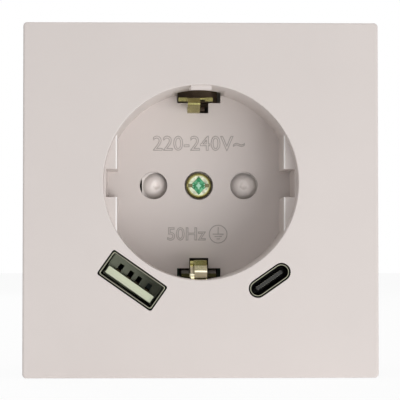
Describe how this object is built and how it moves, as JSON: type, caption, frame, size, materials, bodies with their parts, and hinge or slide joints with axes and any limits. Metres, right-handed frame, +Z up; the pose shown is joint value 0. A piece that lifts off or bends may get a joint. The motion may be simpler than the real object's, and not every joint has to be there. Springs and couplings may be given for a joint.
{
  "type": "usb wall socket",
  "caption": "Square flush wall socket with a round recessed earthed outlet and slanted USB charging ports below it.",
  "frame": {"origin": "in the plane of the finished wall, at the centre of the support ring's screw slots, behind the middle of the plate", "axes": "+X to the right, +Y into the wall, +Z up; the visible face looks along -Y"},
  "size_m": [0.071, 0.0436, 0.071],
  "materials": {
    "cover": "satin pale greige moulding",
    "shutter": "satin, as the cover",
    "screw": "zinc plated, passivated",
    "brass": "plain brass strip, slightly tarnished",
    "spring_steel": "bright drawn",
    "ring_steel": "zinc plated",
    "insulator_white": "matt natural white",
    "housing": "matt charcoal",
    "button": "matt orange",
    "port_shell": "nickel plated sheet",
    "port_cream": "matt cream",
    "port_dark": "matt grey",
    "port_gold": "gold plated",
    "board": "green solder mask on laminate",
    "header": "black",
    "ferrite": "dark grey ferrite",
    "winding": "yellow polyester tape over copper",
    "capacitor": "dark blue sleeve over an aluminium can",
    "chip": "black epoxy",
    "fuse_glass": "clear tube with metal caps"
  },
  "bodies": {
    "socket": {"cover_plate": "cover", "cover_screw": "screw", "shutter_spring": "spring_steel", "shutter_tray": "insulator_white", "earth_strap": "brass", "earth_clip_top": "brass", "earth_clip_bottom": "brass", "earth_rivets": "brass", "earth_terminal": "brass", "line_contact": "brass", "neutral_contact": "brass", "line_clamp_spring": "spring_steel", "neutral_clamp_spring": "spring_steel", "earth_clamp_spring": "spring_steel", "contact_carrier": "insulator_white", "rear_housing": "housing", "insert_front": "housing", "support_ring": "ring_steel", "usb_a_shell": "port_shell", "usb_a_insulator": "port_cream", "usb_a_contacts": "port_gold", "usb_c_shell": "port_shell", "usb_c_tongue": "port_dark", "usb_c_contacts": "port_gold", "port_board": "board", "power_board": "board", "board_header": "header", "transformer_core": "ferrite", "transformer_coil": "winding", "input_capacitor": "capacitor", "output_capacitor": "capacitor", "controller_chip": "chip", "bridge_rectifier": "chip", "fuse": "fuse_glass"},
    "shutter": {"shutter_slider": "shutter"},
    "line_button": {"line_release_button": "button"},
    "neutral_button": {"neutral_release_button": "button"},
    "earth_button": {"earth_release_button": "button"}
  },
  "joints": [
    {"name": "shutter_slide", "type": "slide", "parent": "socket", "child": "shutter", "axis": [0, 0, 1], "range_m": [0, 0.0065], "stiffness_N_per_m": 60, "springref_m": -0.006, "deforming": ["shutter_spring"]},
    {"name": "line_button_slide", "type": "slide", "parent": "socket", "child": "line_button", "axis": [0, -1, 0], "range_m": [0, 0.0015], "stiffness_N_per_m": 120, "springref_m": -0.001},
    {"name": "neutral_button_slide", "type": "slide", "parent": "socket", "child": "neutral_button", "axis": [0, -1, 0], "range_m": [0, 0.0015], "stiffness_N_per_m": 120, "springref_m": -0.001},
    {"name": "earth_button_slide", "type": "slide", "parent": "socket", "child": "earth_button", "axis": [0, -1, 0], "range_m": [0, 0.0015], "stiffness_N_per_m": 120, "springref_m": -0.001}
  ]
}
